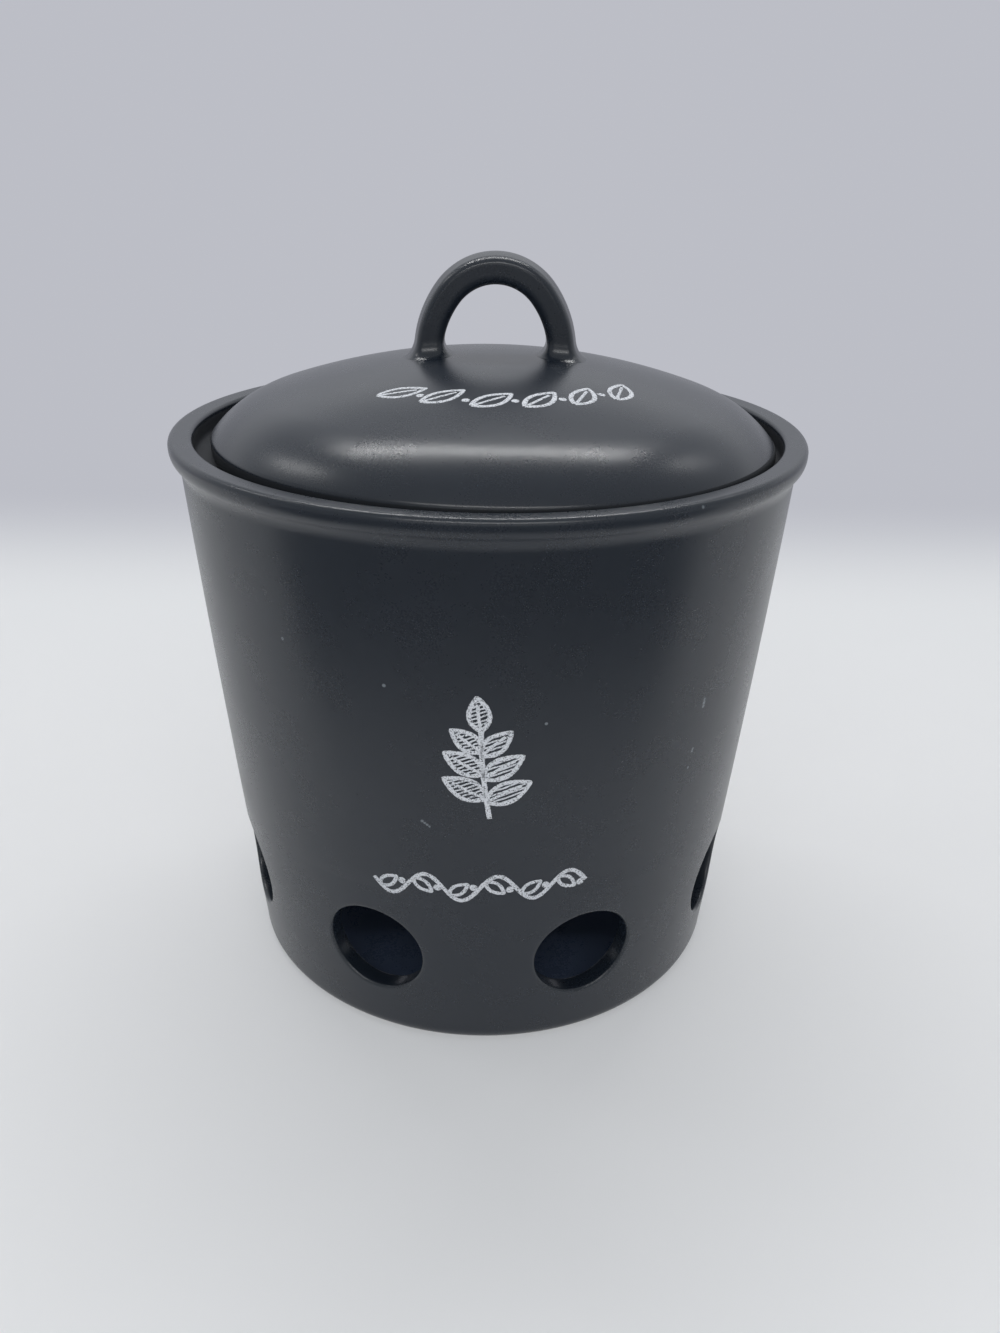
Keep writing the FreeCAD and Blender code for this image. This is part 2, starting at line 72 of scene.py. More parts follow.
# Lid, measured up from its seat on the ledge
LID_RADIUS = 62.4
LID_TOP = 20.3
LID_WALL = 5.0
EDGE_HEIGHT = 2.5
EDGE_RADIUS = 1.8
EDGE_TURN = 40.0
SHOULDER_RADIUS = 28.0
LOWER_ROUND = 1.5
FLANGE_RADIUS = 57.0
FLANGE_WIDTH = 4.0
FLANGE_DEPTH = 6.0
FLANGE_ROOT = 1.0
LID_INNER_ROUND = 12.0
LID_PLACE = (1.1, 0.5, LEDGE_HEIGHT)

# Handle
HANDLE_SPAN = 29.4
HANDLE_RISE = 18.2
HANDLE_TURN = 105.0
HANDLE_THICKNESS = 6.42
HANDLE_WIDTH = 8.6
HANDLE_OUTER_CORNER = 1.8
HANDLE_INNER_CORNER = 1.9
HANDLE_SLOPE = 0.2
HANDLE_RIDGE = 1.5
FLARE_OUT = 2.8
FLARE_UP = 3.6
FOOT_SUNK = 0.5

# What the kiln did: a rim with its crest well out, that rises to the back, and a lid that leans
CREST_RADIUS = 1.3
CREST_HEIGHT = 127.15
CREST_SLOPE = 4.0
LIP_RADIUS = 0.9
RIM_RISE = 1.1
LID_LEAN_RIGHT = 0.5
LID_LEAN_BACK = 0.6

# How finely the clay is divided
ROUND_STEPS = 288
WEDGE_STEPS = ROUND_STEPS // VENT_COUNT
BLOCK_LOW = 4.6
BLOCK_HIGH = 43.0
BLOCK_INNER_LOW = 8.8
BLOCK_STEPS = 26
VENT_RINGS = 15


class Wire:
    """An output of a node, which sums can be written with."""

    def __init__(self, graph, socket):
        self.graph = graph
        self.socket = socket

    def __add__(self, other):
        return self.graph.math("ADD", self, other)

    def __sub__(self, other):
        return self.graph.math("SUBTRACT", self, other)

    def __rsub__(self, other):
        return self.graph.math("SUBTRACT", other, self)

    def __mul__(self, other):
        return self.graph.math("MULTIPLY", self, other)

    def __truediv__(self, other):
        return self.graph.math("DIVIDE", self, other)

    def __rtruediv__(self, other):
        return self.graph.math("DIVIDE", other, self)

    __radd__ = __add__
    __rmul__ = __mul__


class Graph:
    """A node tree whose nodes are added and joined in one step."""

    def __init__(self, tree):
        self.tree = tree
        tree.nodes.clear()

    def node(self, kind, inputs=(), **settings):
        node = self.tree.nodes.new(kind)
        for name, value in settings.items():
            setattr(node, name, value)
        for key, value in dict(inputs).items():
            socket = self.socket(node.inputs, key)
            if isinstance(value, Wire):
                self.tree.links.new(value.socket, socket)
            else:
                socket.default_value = value
        return node

    def socket(self, sockets, key):
        if isinstance(key, int):
            return sockets[key]
        return next(s for s in sockets if s.name == key and s.enabled)

    def wire(self, node, key=0):
        return Wire(self, self.socket(node.outputs, key))

    def use(self, kind, inputs=(), out=0, **settings):
        return self.wire(self.node(kind, inputs, **settings), out)

    def math(self, operation, *values):
        return self.use("ShaderNodeMath", enumerate(values), operation=operation)

    def vector(self, operation, *values, out="Vector"):
        return self.use("ShaderNodeVectorMath", enumerate(values), out, operation=operation)

    def scaled(self, vector, factor):
        return self.use("ShaderNodeVectorMath", {0: vector, "Scale": factor}, operation="SCALE")

    def join(self, x=0.0, y=0.0, z=0.0):
        return self.use("ShaderNodeCombineXYZ", {"X": x, "Y": y, "Z": z})

    def split(self, vector):
        node = self.node("ShaderNodeSeparateXYZ", {"Vector": vector})
        return self.wire(node, "X"), self.wire(node, "Y"), self.wire(node, "Z")

    def fade(self, value, low, high):
        """0 at low and 1 at high, eased at both ends."""
        return self.use(
            "ShaderNodeMapRange",
            {"Value": value, "From Min": low, "From Max": high},
            interpolation_type="SMOOTHSTEP",
        )

    def noise(self, place, scale, detail=2.0, rough=0.5, seed=0.0):
        inputs = {"Vector": place, "W": seed, "Scale": scale, "Detail": detail, "Roughness": rough}
        return self.use("ShaderNodeTexNoise", inputs, noise_dimensions="4D")

    def mix(self, share, a, b, kind="RGBA"):
        return self.use("ShaderNodeMix", {"Factor": share, "A": a, "B": b}, "Result", data_type=kind)


def new_tree(name, **sizes):
    """A Geometry Nodes tree with its clay on one socket and its sizes on the others."""
    tree = bpy.data.node_groups.new(name, "GeometryNodeTree")
    graph = Graph(tree)
    tree.interface.new_socket("Geometry", in_out="OUTPUT", socket_type="NodeSocketGeometry")
    tree.interface.new_socket("Geometry", in_out="INPUT", socket_type="NodeSocketGeometry")
    kinds = {int: "NodeSocketInt", float: "NodeSocketFloat", str: "NodeSocketMaterial"}
    for label, value in sizes.items():
        kind = kinds.get(type(value), "NodeSocketObject")
        socket = tree.interface.new_socket(
            label.replace("_", " ").capitalize(), in_out="INPUT", socket_type=kind
        )
        if type(value) in (int, float):
            socket.default_value = value
    start = tree.nodes.new("NodeGroupInput")
    given = {
        label: Wire(graph, start.outputs[i + 1]) for i, label in enumerate(sizes)
    }
    return graph, Wire(graph, start.outputs[0]), given


def close_tree(graph, geometry, finish):
    """End a tree: real geometry, smooth faces and its finish."""
    real = graph.use("GeometryNodeRealizeInstances", {"Geometry": geometry})
    smooth = graph.use("GeometryNodeSetShadeSmooth", {"Geometry": real})
    dressed = graph.use("GeometryNodeSetMaterial", {"Geometry": smooth, "Material": finish})
    end = graph.tree.nodes.new("NodeGroupOutput")
    graph.tree.links.new(dressed.socket, end.inputs[0])


def grow(name, start, graph, finish, **sizes):
    """Run a tree on a starting mesh and keep what it makes as one plain mesh."""
    seed = bpy.data.objects.new(name + "_start", start)
    bpy.context.scene.collection.objects.link(seed)
    modifier = seed.modifiers.new("Make", "NODES")
    modifier.node_group = graph.tree
    sizes["finish"] = finish
    for item in graph.tree.interface.items_tree:
        label = item.name.lower().replace(" ", "_")
        if item.in_out == "INPUT" and label in sizes:
            modifier[item.identifier] = sizes[label]
    bpy.context.view_layer.update()
    made = bpy.data.meshes.new_from_object(
        seed.evaluated_get(bpy.context.evaluated_depsgraph_get())
    )
    bpy.data.objects.remove(seed)
    made.name = name
    made.materials.clear()
    made.materials.append(finish)
    turn_outward(made)
    piece = bpy.data.objects.new(name, made)
    bpy.context.scene.collection.objects.link(piece)
    return piece


def turn_outward(mesh):
    shape = bmesh.new()
    shape.from_mesh(mesh)
    bmesh.ops.recalc_face_normals(shape, faces=shape.faces)
    shape.to_mesh(mesh)
    shape.free()


def arc(centre, radius, first, last, steps):
    """Points along an arc, both ends included."""
    turn = np.radians(np.linspace(first, last, steps + 1))
    return np.stack([centre[0] + radius * np.cos(turn), centre[1] + radius * np.sin(turn)], 1)


def straight(start, end, steps):
    share = np.linspace(0, 1, steps + 1)[:, None]
    return np.array(start) * (1 - share) + np.array(end) * share


def chain(*runs):
    """Runs of points one after the other, with no point twice in a row."""
    points = np.concatenate(runs)
    step = np.linalg.norm(np.diff(points, axis=0), axis=1)
    return points[np.concatenate([[True], step > 1e-4])]


def bearing(start, end):
    return math.degrees(math.atan2(end[1] - start[1], end[0] - start[0]))


def crossings(first, first_radius, second, second_radius):
    """The two points where two circles cross."""
    gap = math.dist(first, second)
    along = (gap ** 2 + first_radius ** 2 - second_radius ** 2) / (2 * gap)
    off = math.sqrt(first_radius ** 2 - along ** 2)
    ux, uz = (second[0] - first[0]) / gap, (second[1] - first[1]) / gap
    x, z = first[0] + along * ux, first[1] + along * uz
    return (x - off * uz, z + off * ux), (x + off * uz, z - off * ux)


def circle_reach(centre, radius, z):
    return centre[0] + np.sqrt(radius ** 2 - (z - centre[1]) ** 2)


# The pot's section: the centres that its arcs turn about
BOW = min(crossings((BASE_RADIUS, 0), WALL_BOW, NECK, WALL_BOW))
INNER_BOW = WALL_BOW - WALL
BEAD = (RIM_RADIUS - BEAD_RADIUS, RIM_HEIGHT - BEAD_RADIUS)
COVE = min(
    crossings(BOW, WALL_BOW + COVE_RADIUS, BEAD, BEAD_RADIUS + COVE_RADIUS),
    key=lambda point: point[1],
)
FOOT = (circle_reach(BOW, WALL_BOW - FOOT_ROUND, FOOT_ROUND), FOOT_ROUND)
INNER_Z = FLOOR_TOP + INNER_ROUND
INNER = (circle_reach(BOW, INNER_BOW - INNER_ROUND, INNER_Z), INNER_Z)


def outer_reach(z):
    """How far out the pot's outer skin lies beside a vent."""
    return circle_reach(BOW, WALL_BOW, z)


def inner_reach(z):
    """How far out the pot's inner skin lies beside a vent, and in the round below it."""
    low = INNER[0] + np.sqrt(np.maximum(INNER_ROUND ** 2 - (z - INNER_Z) ** 2, 0))
    return np.where(z < INNER_Z, low, circle_reach(BOW, INNER_BOW, z))


def underside():
    """From the middle of the recess round the foot ring to the bottom of the vents' band."""
    ring = (FOOT_RING, 0)
    brow = (FOOT_RING - FOOT_RECESS, FOOT_RECESS)
    ease = 0.7
    ease_radius = ease * 2.414
    return chain(
        straight((0, FOOT_RECESS), (brow[0] - ease, FOOT_RECESS), 5),
        arc((brow[0] - ease, FOOT_RECESS - ease_radius), ease_radius, 90, 45, 3),
        arc((ring[0] + ease, ease_radius), ease_radius, 225, 270, 3),
        straight((ring[0] + ease, 0), (FOOT[0], 0), 3),
        arc(FOOT, FOOT_ROUND, -90, bearing(BOW, FOOT), 8),
        wall_run(BOW, WALL_BOW, FOOT_ROUND + 0.2, BLOCK_LOW, 1),
    )


def wall_run(centre, radius, low, high, steps):
    z = np.linspace(low, high, steps + 1)
    return np.stack([circle_reach(centre, radius, z), z], 1)


def upper_wall():
    """From the top of the vents' band over the rim and down inside to the band again."""
    slope = math.radians(CREST_SLOPE)
    crest = (RIM_RADIUS - CREST_RADIUS, CREST_HEIGHT - CREST_RADIUS)
    inward = crest[0] - GALLERY_RADIUS - LIP_RADIUS
    drop = (CREST_RADIUS - LIP_RADIUS - math.sin(slope) * inward) / math.cos(slope)
    lip = (GALLERY_RADIUS + LIP_RADIUS, crest[1] + drop)
    under = LEDGE_HEIGHT - LEDGE_THICKNESS
    haunch_radius = circle_reach(BOW, INNER_BOW, under) - BORE_RADIUS
    haunch = (BORE_RADIUS, under - haunch_radius)
    corner = (GALLERY_RADIUS - GALLERY_ROUND, LEDGE_HEIGHT + GALLERY_ROUND)
    edge = (BORE_RADIUS + LEDGE_ROUND, LEDGE_HEIGHT - LEDGE_ROUND)
    cove_foot = WALL_BOW * math.sin(math.radians(bearing(BOW, COVE))) + BOW[1]
    haunch_foot = INNER_BOW * math.sin(math.radians(bearing(BOW, haunch))) + BOW[1]
    return chain(
        wall_run(BOW, WALL_BOW, BLOCK_HIGH, cove_foot, 18),
        arc(COVE, COVE_RADIUS, bearing(COVE, BOW) % 360, bearing(COVE, BEAD), 10),
        arc(BEAD, BEAD_RADIUS, bearing(BEAD, COVE), 0, 8),
        arc(crest, CREST_RADIUS, 0, 90 + CREST_SLOPE, 12),
        arc(lip, LIP_RADIUS, 90 + CREST_SLOPE, 180, 7),
        straight((GALLERY_RADIUS, lip[1]), (GALLERY_RADIUS, corner[1]), 2),
        arc(corner, GALLERY_ROUND, 0, -90, 4),
        straight((corner[0], LEDGE_HEIGHT), (edge[0], LEDGE_HEIGHT), 3),
        arc(edge, LEDGE_ROUND, 90, 180, 5),
        straight((BORE_RADIUS, edge[1]), (BORE_RADIUS, under), 1),
        arc(haunch, haunch_radius, 90, bearing(BOW, haunch), 7),
        wall_run(BOW, INNER_BOW, haunch_foot, BLOCK_HIGH, 14),
    )


def inner_floor():
    """From the bottom of the vents' band inside to the middle of the floor."""
    start = -math.degrees(math.asin((INNER_Z - BLOCK_INNER_LOW) / INNER_ROUND))
    return chain(
        arc(INNER, INNER_ROUND, start, -90, 5),
        straight((INNER[0], FLOOR_TOP), (0, FLOOR_TOP), 7),
    )


def turned(section, azimuths):
    """A section's points at each azimuth, counted from the front towards the right."""
    r, z = section[:, 0, None], section[:, 1, None]
    return np.stack([r * np.sin(azimuths), -r * np.cos(azimuths), z + 0 * azimuths], 2)


def vent_band(reach, low, high, inward):
    """Rings of points from one vent's eased edge out to the edges of its share of the wall."""
    half = math.pi / VENT_COUNT
    across = np.linspace(-half, half, WEDGE_STEPS + 1)
    up = np.linspace(low, high, BLOCK_STEPS + 1)
    edge_turn = np.concatenate([across[:-1], 0 * up[:-1] + half, -across[:-1], 0 * up[:-1] - half])
    edge_z = np.concatenate([0 * across[:-1] + low, up[:-1], 0 * across[:-1] + high, up[::-1][:-1]])
    edge_u = reach(edge_z) * np.sin(edge_turn)
    around = np.arctan2(edge_z - VENT_HEIGHT, edge_u)
    cos, sin = np.cos(around), np.sin(around)

    rings = []
    ease = np.radians(np.linspace(90, 0, 6))
    for turn in ease:
        rho = VENT_RADIUS + VENT_EDGE * (1 - math.sin(turn))
        depth = VENT_EDGE * (1 - math.cos(turn))
        u, z = rho * cos, VENT_HEIGHT + rho * sin
        rings.append(np.stack([u, -np.sqrt(reach(z) ** 2 - u ** 2) + inward * depth, z], 1))
    start_u, start_z = rho * cos, VENT_HEIGHT + rho * sin
    for share in (np.arange(1, VENT_RINGS + 1) / VENT_RINGS) ** 1.25:
        u = start_u + (edge_u - start_u) * share
        z = start_z + (edge_z - start_z) * share
        rings.append(np.stack([u, -np.sqrt(reach(z) ** 2 - u ** 2), z], 1))
    lip = np.concatenate([[0.5, 0.85, 1.0, 1.0, 0.85, 0.5], np.zeros(VENT_RINGS)])
    lip[6:9] = [0.25, 0.1, 0.03]
    return np.array(rings), lip


def vent_sleeve(outer, inner):
    """The vent's own wall, from its outer edge to its inner one."""
    share = np.linspace(0, 1, 5)[:, None, None]
    return outer[None] * (1 - share) + inner[None] * share


def sheet_mesh(name, *sheets):
    """One mesh from sheets of points, each with rows of equal length and a mark for each row."""
    points, faces, marks = [], [], []
    count = 0
    for rows, mark, closed in sheets:
        n, m = rows.shape[:2]
        index = count + np.arange(n * m).reshape(n, m)
        if closed:
            index = np.concatenate([index, index[:, :1]], 1)
        quads = np.stack([index[:-1, :-1], index[:-1, 1:], index[1:, 1:], index[1:, :-1]], 2)
        points.append(rows.reshape(-1, 3))
        marks.append(np.repeat(np.broadcast_to(mark, n), m))
        faces.append(quads.reshape(-1, 4))
        count += n * m
    mesh = bpy.data.meshes.new(name)
    mesh.from_pydata(np.concatenate(points) * MM, [], np.concatenate(faces).tolist())
    lip = mesh.attributes.new("lip", "FLOAT", "POINT")
    lip.data.foreach_set("value", np.concatenate(marks).astype(np.float32))
    return mesh


def pot_wedge():
    """One vent's share of the pot, from the middle of the foot to the middle of the floor."""
    half = math.pi / VENT_COUNT
    azimuths = np.linspace(-half, half, WEDGE_STEPS + 1)[None]
    outer, lip = vent_band(outer_reach, BLOCK_LOW, BLOCK_HIGH, 1)
    inner, _ = vent_band(inner_reach, BLOCK_INNER_LOW, BLOCK_HIGH, -1)
    top = upper_wall()
    crest = np.exp(-((top[:, 1] - CREST_HEIGHT) / 0.7) ** 2) * 0.5
    return sheet_mesh(
        "pot_wedge",
        (turned(underside(), azimuths), 0.0, False),
        (turned(top, azimuths), crest, False),
        (turned(inner_floor(), azimuths), 0.0, False),
        (outer, lip, True),
        (inner, lip, True),
        (vent_sleeve(outer[0], inner[0]), 0.3, True),
    )


def uneven(graph, clay, amount, wave, seed):
    """Push a skin in and out a little along its normals, as a hand-finished pot is."""
    place = graph.scaled(graph.use("GeometryNodeInputPosition"), 1 / MM)
    swell = graph.noise(place, 1.0 / wave, 1.5, 0.45, seed) - 0.5
    normal = graph.use("GeometryNodeInputNormal")
    push = graph.scaled(normal, swell * amount * (2 * MM))
    return graph.use("GeometryNodeSetPosition", {"Geometry": clay, "Offset": push})


def ring_of_wedges():
    """Repeats one vent's share of the wall round the pot and knits the shares together."""
    graph, wedge, size = new_tree(
        "ring_of_wedges",
        vents=VENT_COUNT, first_turn=0.0, rise=0.0, rise_from=0.0, rise_to=1.0,
        weld=0.0005, swell=0.05, wave=30.0, seed=1, finish="",
    )
    spots = graph.use("GeometryNodePoints", {"Count": size["vents"]})
    index = graph.use("GeometryNodeInputIndex")
    turn = index * (2 * math.pi) / size["vents"] + size["first_turn"]
    ring = graph.use(
        "GeometryNodeInstanceOnPoints",
        {"Points": spots, "Instance": wedge, "Rotation": graph.join(z=turn)},
    )
    real = graph.use("GeometryNodeRealizeInstances", {"Geometry": ring})
    whole = graph.use(
        "GeometryNodeMergeByDistance", {"Geometry": real, "Distance": size["weld"] * MM}
    )
    x, y, z = graph.split(graph.scaled(graph.use("GeometryNodeInputPosition"), 1 / MM))
    reach = graph.math("MAXIMUM", graph.math("SQRT", x * x + y * y), 1.0)
    behind = (y / reach + 1.0) * 0.5
    lift = behind * graph.fade(z, size["rise_from"], size["rise_to"]) * size["rise"]
    raised = graph.use(
        "GeometryNodeSetPosition", {"Geometry": whole, "Offset": graph.join(z=lift * MM)}
    )
    clay = uneven(graph, raised, size["swell"], size["wave"], size["seed"])
    close_tree(graph, clay, size["finish"])
    return graph


def lid_section():
    """Half the lid's section, from the top of its crown to the top of its hollow."""
    edge = (LID_RADIUS - EDGE_RADIUS, EDGE_HEIGHT)
    step = SHOULDER_RADIUS - EDGE_RADIUS
    turn = math.radians(EDGE_TURN)
    shoulder = (edge[0] - step * math.cos(turn), edge[1] - step * math.sin(turn))
    hollow = CROWN_RADIUS - LID_WALL
    inner_reach_x = FLANGE_RADIUS - FLANGE_WIDTH - LID_INNER_ROUND
    fall = math.sqrt((hollow - LID_INNER_ROUND) ** 2 - inner_reach_x ** 2)
    inner = (inner_reach_x, CROWN[1] + fall)
    lower = (LID_RADIUS - LOWER_ROUND, LOWER_ROUND)
    root = (FLANGE_RADIUS + FLANGE_ROOT, -FLANGE_ROOT)
    end = (FLANGE_RADIUS - FLANGE_WIDTH / 2, FLANGE_WIDTH / 2 - FLANGE_DEPTH)
    flange_in = FLANGE_RADIUS - FLANGE_WIDTH
    return chain(
        arc(CROWN, CROWN_RADIUS, 90, bearing(CROWN, shoulder), 24),
        arc(shoulder, SHOULDER_RADIUS, bearing(CROWN, shoulder), EDGE_TURN, 14),
        arc(edge, EDGE_RADIUS, EDGE_TURN, 0, 10),
        straight((LID_RADIUS, EDGE_HEIGHT), (LID_RADIUS, LOWER_ROUND), 2),
        arc(lower, LOWER_ROUND, 0, -90, 6),
        straight((lower[0], 0), (root[0], 0), 3),
        arc(root, FLANGE_ROOT, 90, 180, 4),
        straight((FLANGE_RADIUS, root[1]), (FLANGE_RADIUS, end[1]), 2),
        arc(end, FLANGE_WIDTH / 2, 0, -180, 10),
        straight((flange_in, end[1]), (flange_in, inner[1]), 4),
        arc(inner, LID_INNER_ROUND, 0, bearing(CROWN, inner), 8),
        arc(CROWN, hollow, bearing(CROWN, inner), 90, 16),
    )


def crown_of_lid():
    """The radius and centre of the lid's wide top arc, which meets the shoulder smoothly."""
    turn = math.radians(EDGE_TURN)
    step = SHOULDER_RADIUS - EDGE_RADIUS
    x = LID_RADIUS - EDGE_RADIUS - step * math.cos(turn)
    drop = LID_TOP - (EDGE_HEIGHT - step * math.sin(turn))
    radius = (x ** 2 + drop ** 2 - SHOULDER_RADIUS ** 2) / (2 * (drop - SHOULDER_RADIUS))
    return radius, (0, LID_TOP - radius)


CROWN_RADIUS, CROWN = crown_of_lid()


def line_mesh(name, runs, **marks):
    """Strings of points joined one to the next, with numbers kept on the points."""
    mesh = bpy.data.meshes.new(name)
    points = np.concatenate(runs)
    starts = np.cumsum([0] + [len(run) for run in runs])
    edges = [
        (i, i + 1) for start, stop in zip(starts, starts[1:]) for i in range(start, stop - 1)
    ]
    mesh.from_pydata(points * MM, edges, [])
    for label, values in marks.items():
        kept = mesh.attributes.new(label, "FLOAT", "POINT")
        kept.data.foreach_set("value", np.concatenate(values).astype(np.float32))
    return mesh


def turned_on_a_wheel():
    """Turns a section once round the upright axis that it is drawn beside."""
    graph, section, size = new_tree(
        "turned_on_a_wheel",
        steps_round=ROUND_STEPS, right=0.0, back=0.0, up=0.0,
        radius=1.0, lean_right=0.0, lean_back=0.0, lean_from=0.0, lean_to=1.0,
        weld=0.0005, swell=0.05, wave=30.0, seed=1, finish="",
    )
    count = graph.use("GeometryNodeAttributeDomainSize", {"Geometry": section}, "Point Count")
    grid = graph.use(
        "GeometryNodeMeshGrid", {"Vertices X": size["steps_round"] + 1, "Vertices Y": count}, "Mesh"
    )
    index = graph.use("GeometryNodeInputIndex")
    column = graph.math("FLOOR", (index + 0.5) / count)
    row = graph.math("FLOORED_MODULO", index, count)
    spot = graph.use(
        "GeometryNodeSampleIndex",
        {"Geometry": section, "Value": graph.use("GeometryNodeInputPosition"), "Index": row},
        "Value", data_type="FLOAT_VECTOR",
    )
    turn = column / size["steps_round"] * (2 * math.pi)
    spun = graph.use(
        "ShaderNodeVectorRotate", {"Vector": spot, "Angle": turn}, rotation_type="Z_AXIS"
    )
    x, y, z = graph.split(graph.scaled(spun, 1 / MM))
    reach = graph.math("SQRT", x * x + y * y) / size["radius"]
    lean = (x * size["lean_right"] + y * size["lean_back"]) / size["radius"]
    low = lean * reach * graph.fade(z, size["lean_from"], size["lean_to"])
    leaning = graph.join(x + size["right"], y + size["back"], z - low + size["up"])
    clay = graph.use(
        "GeometryNodeSetPosition", {"Geometry": grid, "Position": graph.scaled(leaning, MM)}
    )
    whole = graph.use(
        "GeometryNodeMergeByDistance", {"Geometry": clay, "Distance": size["weld"] * MM}
    )
    swelled = uneven(graph, whole, size["swell"], size["wave"], size["seed"])
    close_tree(graph, swelled, size["finish"])
    return graph


def handle_line():
    """The handle's centre line, with close steps where each foot flares."""
    half = HANDLE_SPAN / 2
    spring = CROWN[1] + math.sqrt(CROWN_RADIUS ** 2 - half ** 2)
    lean = 90 - HANDLE_TURN / 2
    sine, cosine = math.sin(math.radians(lean)), math.cos(math.radians(lean))
    step = (HANDLE_RISE - half) / (sine + cosine - 1)
    arch_radius = half - step * (1 - cosine)
    leg_radius = arch_radius + step
    middle = (0, spring + HANDLE_RISE - arch_radius)

    flare = FLARE_UP * (1 - np.cos(np.radians(np.linspace(0, 90, 12))))
    close = np.degrees(np.arcsin(flare / leg_radius))
    far = np.linspace(close[-1], lean, 12)[1:]
    turns = 180 - np.array([*close, *far])
    leg = [arc((leg_radius - half, spring), leg_radius, turn, turn, 0)[0] for turn in turns]
    arch = arc(middle, arch_radius, 180 - lean, 90, 22)
    left = chain([(-half, spring - FOOT_SUNK)], leg, arch)
    right = left[::-1][1:] * (-1, 1)
    path = np.concatenate([left, right])
    return np.stack([path[:, 0], 0 * path[:, 0], path[:, 1]], 1) + LID_PLACE


def pulled_strap():
    """Draws a rounded strap along a path and flares its two feet on to a domed lid."""
    graph, path, size = new_tree(
        "pulled_strap",
        thickness=HANDLE_THICKNESS, width=HANDLE_WIDTH,
        outer_corner=HANDLE_OUTER_CORNER, inner_corner=HANDLE_INNER_CORNER,
        slope=HANDLE_SLOPE, ridge=HANDLE_RIDGE, ridge_ease=0.8, steps_round=72,
        crown_radius=0.0, right=0.0, back=0.0, crown_middle=0.0,
        flare_out=FLARE_OUT, flare_up=FLARE_UP, swell=0.05, wave=9.0, seed=3, finish="",
    )
    line = graph.use("GeometryNodeMeshToCurve", {"Mesh": path})
    line = graph.use(
        "GeometryNodeSetCurveNormal", {"Curve": line, "Normal": (0.0, 1.0, 0.0)}, mode="FREE"
    )
    strap = graph.use(
        "GeometryNodeCurvePrimitiveQuadrilateral",
        {"Width": size["width"] * MM, "Height": size["thickness"] * MM},
    )
    _, across, _ = graph.split(graph.use("GeometryNodeInputPosition"))
    outside = graph.math("GREATER_THAN", across, 0.0)
    corner = graph.mix(outside, size["inner_corner"], size["outer_corner"], "FLOAT")
    strap = graph.use(
        "GeometryNodeFilletCurve",
        {"Curve": strap, "Count": 10, "Radius": corner * MM, "Limit Radius": True},
        mode="POLY",
    )
    strap = graph.use(
        "GeometryNodeResampleCurve", {"Curve": strap, "Count": size["steps_round"]}, mode="COUNT"
    )
    along, across, _ = graph.split(graph.use("GeometryNodeInputPosition"))
    along = along / MM
    share = graph.math("MAXIMUM", across / MM, 0.0) / size["thickness"] * 2.0
    aside = along - size["ridge"]
    ease = size["ridge_ease"]
    fall = graph.math("SQRT", aside * aside + ease * ease) - ease
    fall = fall * share * size["slope"] * MM
    strap = graph.use(
        "GeometryNodeSetPosition", {"Geometry": strap, "Offset": graph.join(y=fall * -1.0)}
    )
    tube = graph.use(
        "GeometryNodeCurveToMesh", {"Curve": line, "Profile Curve": strap, "Fill Caps": True}
    )
    tube = uneven(graph, tube, size["swell"], size["wave"], size["seed"])

    middle = graph.scaled(graph.join(size["right"], size["back"], size["crown_middle"]), MM)
    place = graph.vector("SUBTRACT", graph.use("GeometryNodeInputPosition"), middle)
    crown = size["crown_radius"] * MM
    out = size["flare_out"] * MM
    up = size["flare_up"] * MM
    above = graph.vector("LENGTH", place, out="Value") - crown
    share = 1.0 - graph.math("MAXIMUM", above, 0.0) / up
    share = graph.math("MAXIMUM", share, 0.0)
    spread = out * (1.0 - graph.math("SQRT", 1.0 - share * share))
    normal = graph.vector("MULTIPLY", graph.use("GeometryNodeInputNormal"), (1.0, 1.0, 0.0))
    aside = graph.scaled(graph.vector("NORMALIZE", normal), spread)
    x, y, z = graph.split(graph.vector("ADD", place, aside))
    shell = crown + above
    level = graph.math("SQRT", shell * shell - x * x - y * y)
    near = graph.math("LESS_THAN", above, up)
    z = graph.mix(near, z, level, "FLOAT")
    spot = graph.vector("ADD", graph.join(x, y, z), middle)
    flared = graph.use("GeometryNodeSetPosition", {"Geometry": tube, "Position": spot})
    close_tree(graph, flared, size["finish"])
    return graph


def leaf(base, heading, length, width):
    """A closed almond leaf and its midrib, from its stalk end."""
    share = np.linspace(0, 1, 19)
    half = width / 2 * np.sin(np.pi * share ** 0.85) ** 0.9
    along = share * length
    upper = np.stack([along, half], 1)
    lower = np.stack([along, -half], 1)[::-1]
    rib_along = np.linspace(0.08, 0.8, 8) * length
    rib = np.stack([rib_along, 0.04 * width * np.sin(np.linspace(0, 3, 8))], 1)
    cos, sin = math.cos(math.radians(heading)), math.sin(math.radians(heading))
    turn = np.array([[cos, sin], [-sin, cos]])
    outline = np.concatenate([upper, lower[1:]]) @ turn + base
    return outline, rib @ turn + base


def hatching(outline, slant, gap, rng):
    """Slanted strokes that fill an outline, a little short of it at each end."""
    cos, sin = math.cos(math.radians(slant)), math.sin(math.radians(slant))
    flat = outline @ np.array([[cos, -sin], [sin, cos]])
    strokes = []
    for level in np.arange(flat[:, 1].min() + gap * 0.7, flat[:, 1].max(), gap):
        a, b = flat[:-1], flat[1:]
        hit = (a[:, 1] - level) * (b[:, 1] - level) < 0
        share = (level - a[hit, 1]) / (b[hit, 1] - a[hit, 1])
        ends = np.sort(a[hit, 0] + share * (b[hit, 0] - a[hit, 0]))
        if len(ends) < 2 or ends[-1] - ends[0] < 1.4:
            continue
        x = np.linspace(ends[0] + 0.35, ends[-1] - 0.35, 6)
        y = level + rng.normal(0, 0.05, 6)
        strokes.append(np.stack([x, y], 1) @ np.array([[cos, sin], [-sin, cos]]))
    return strokes


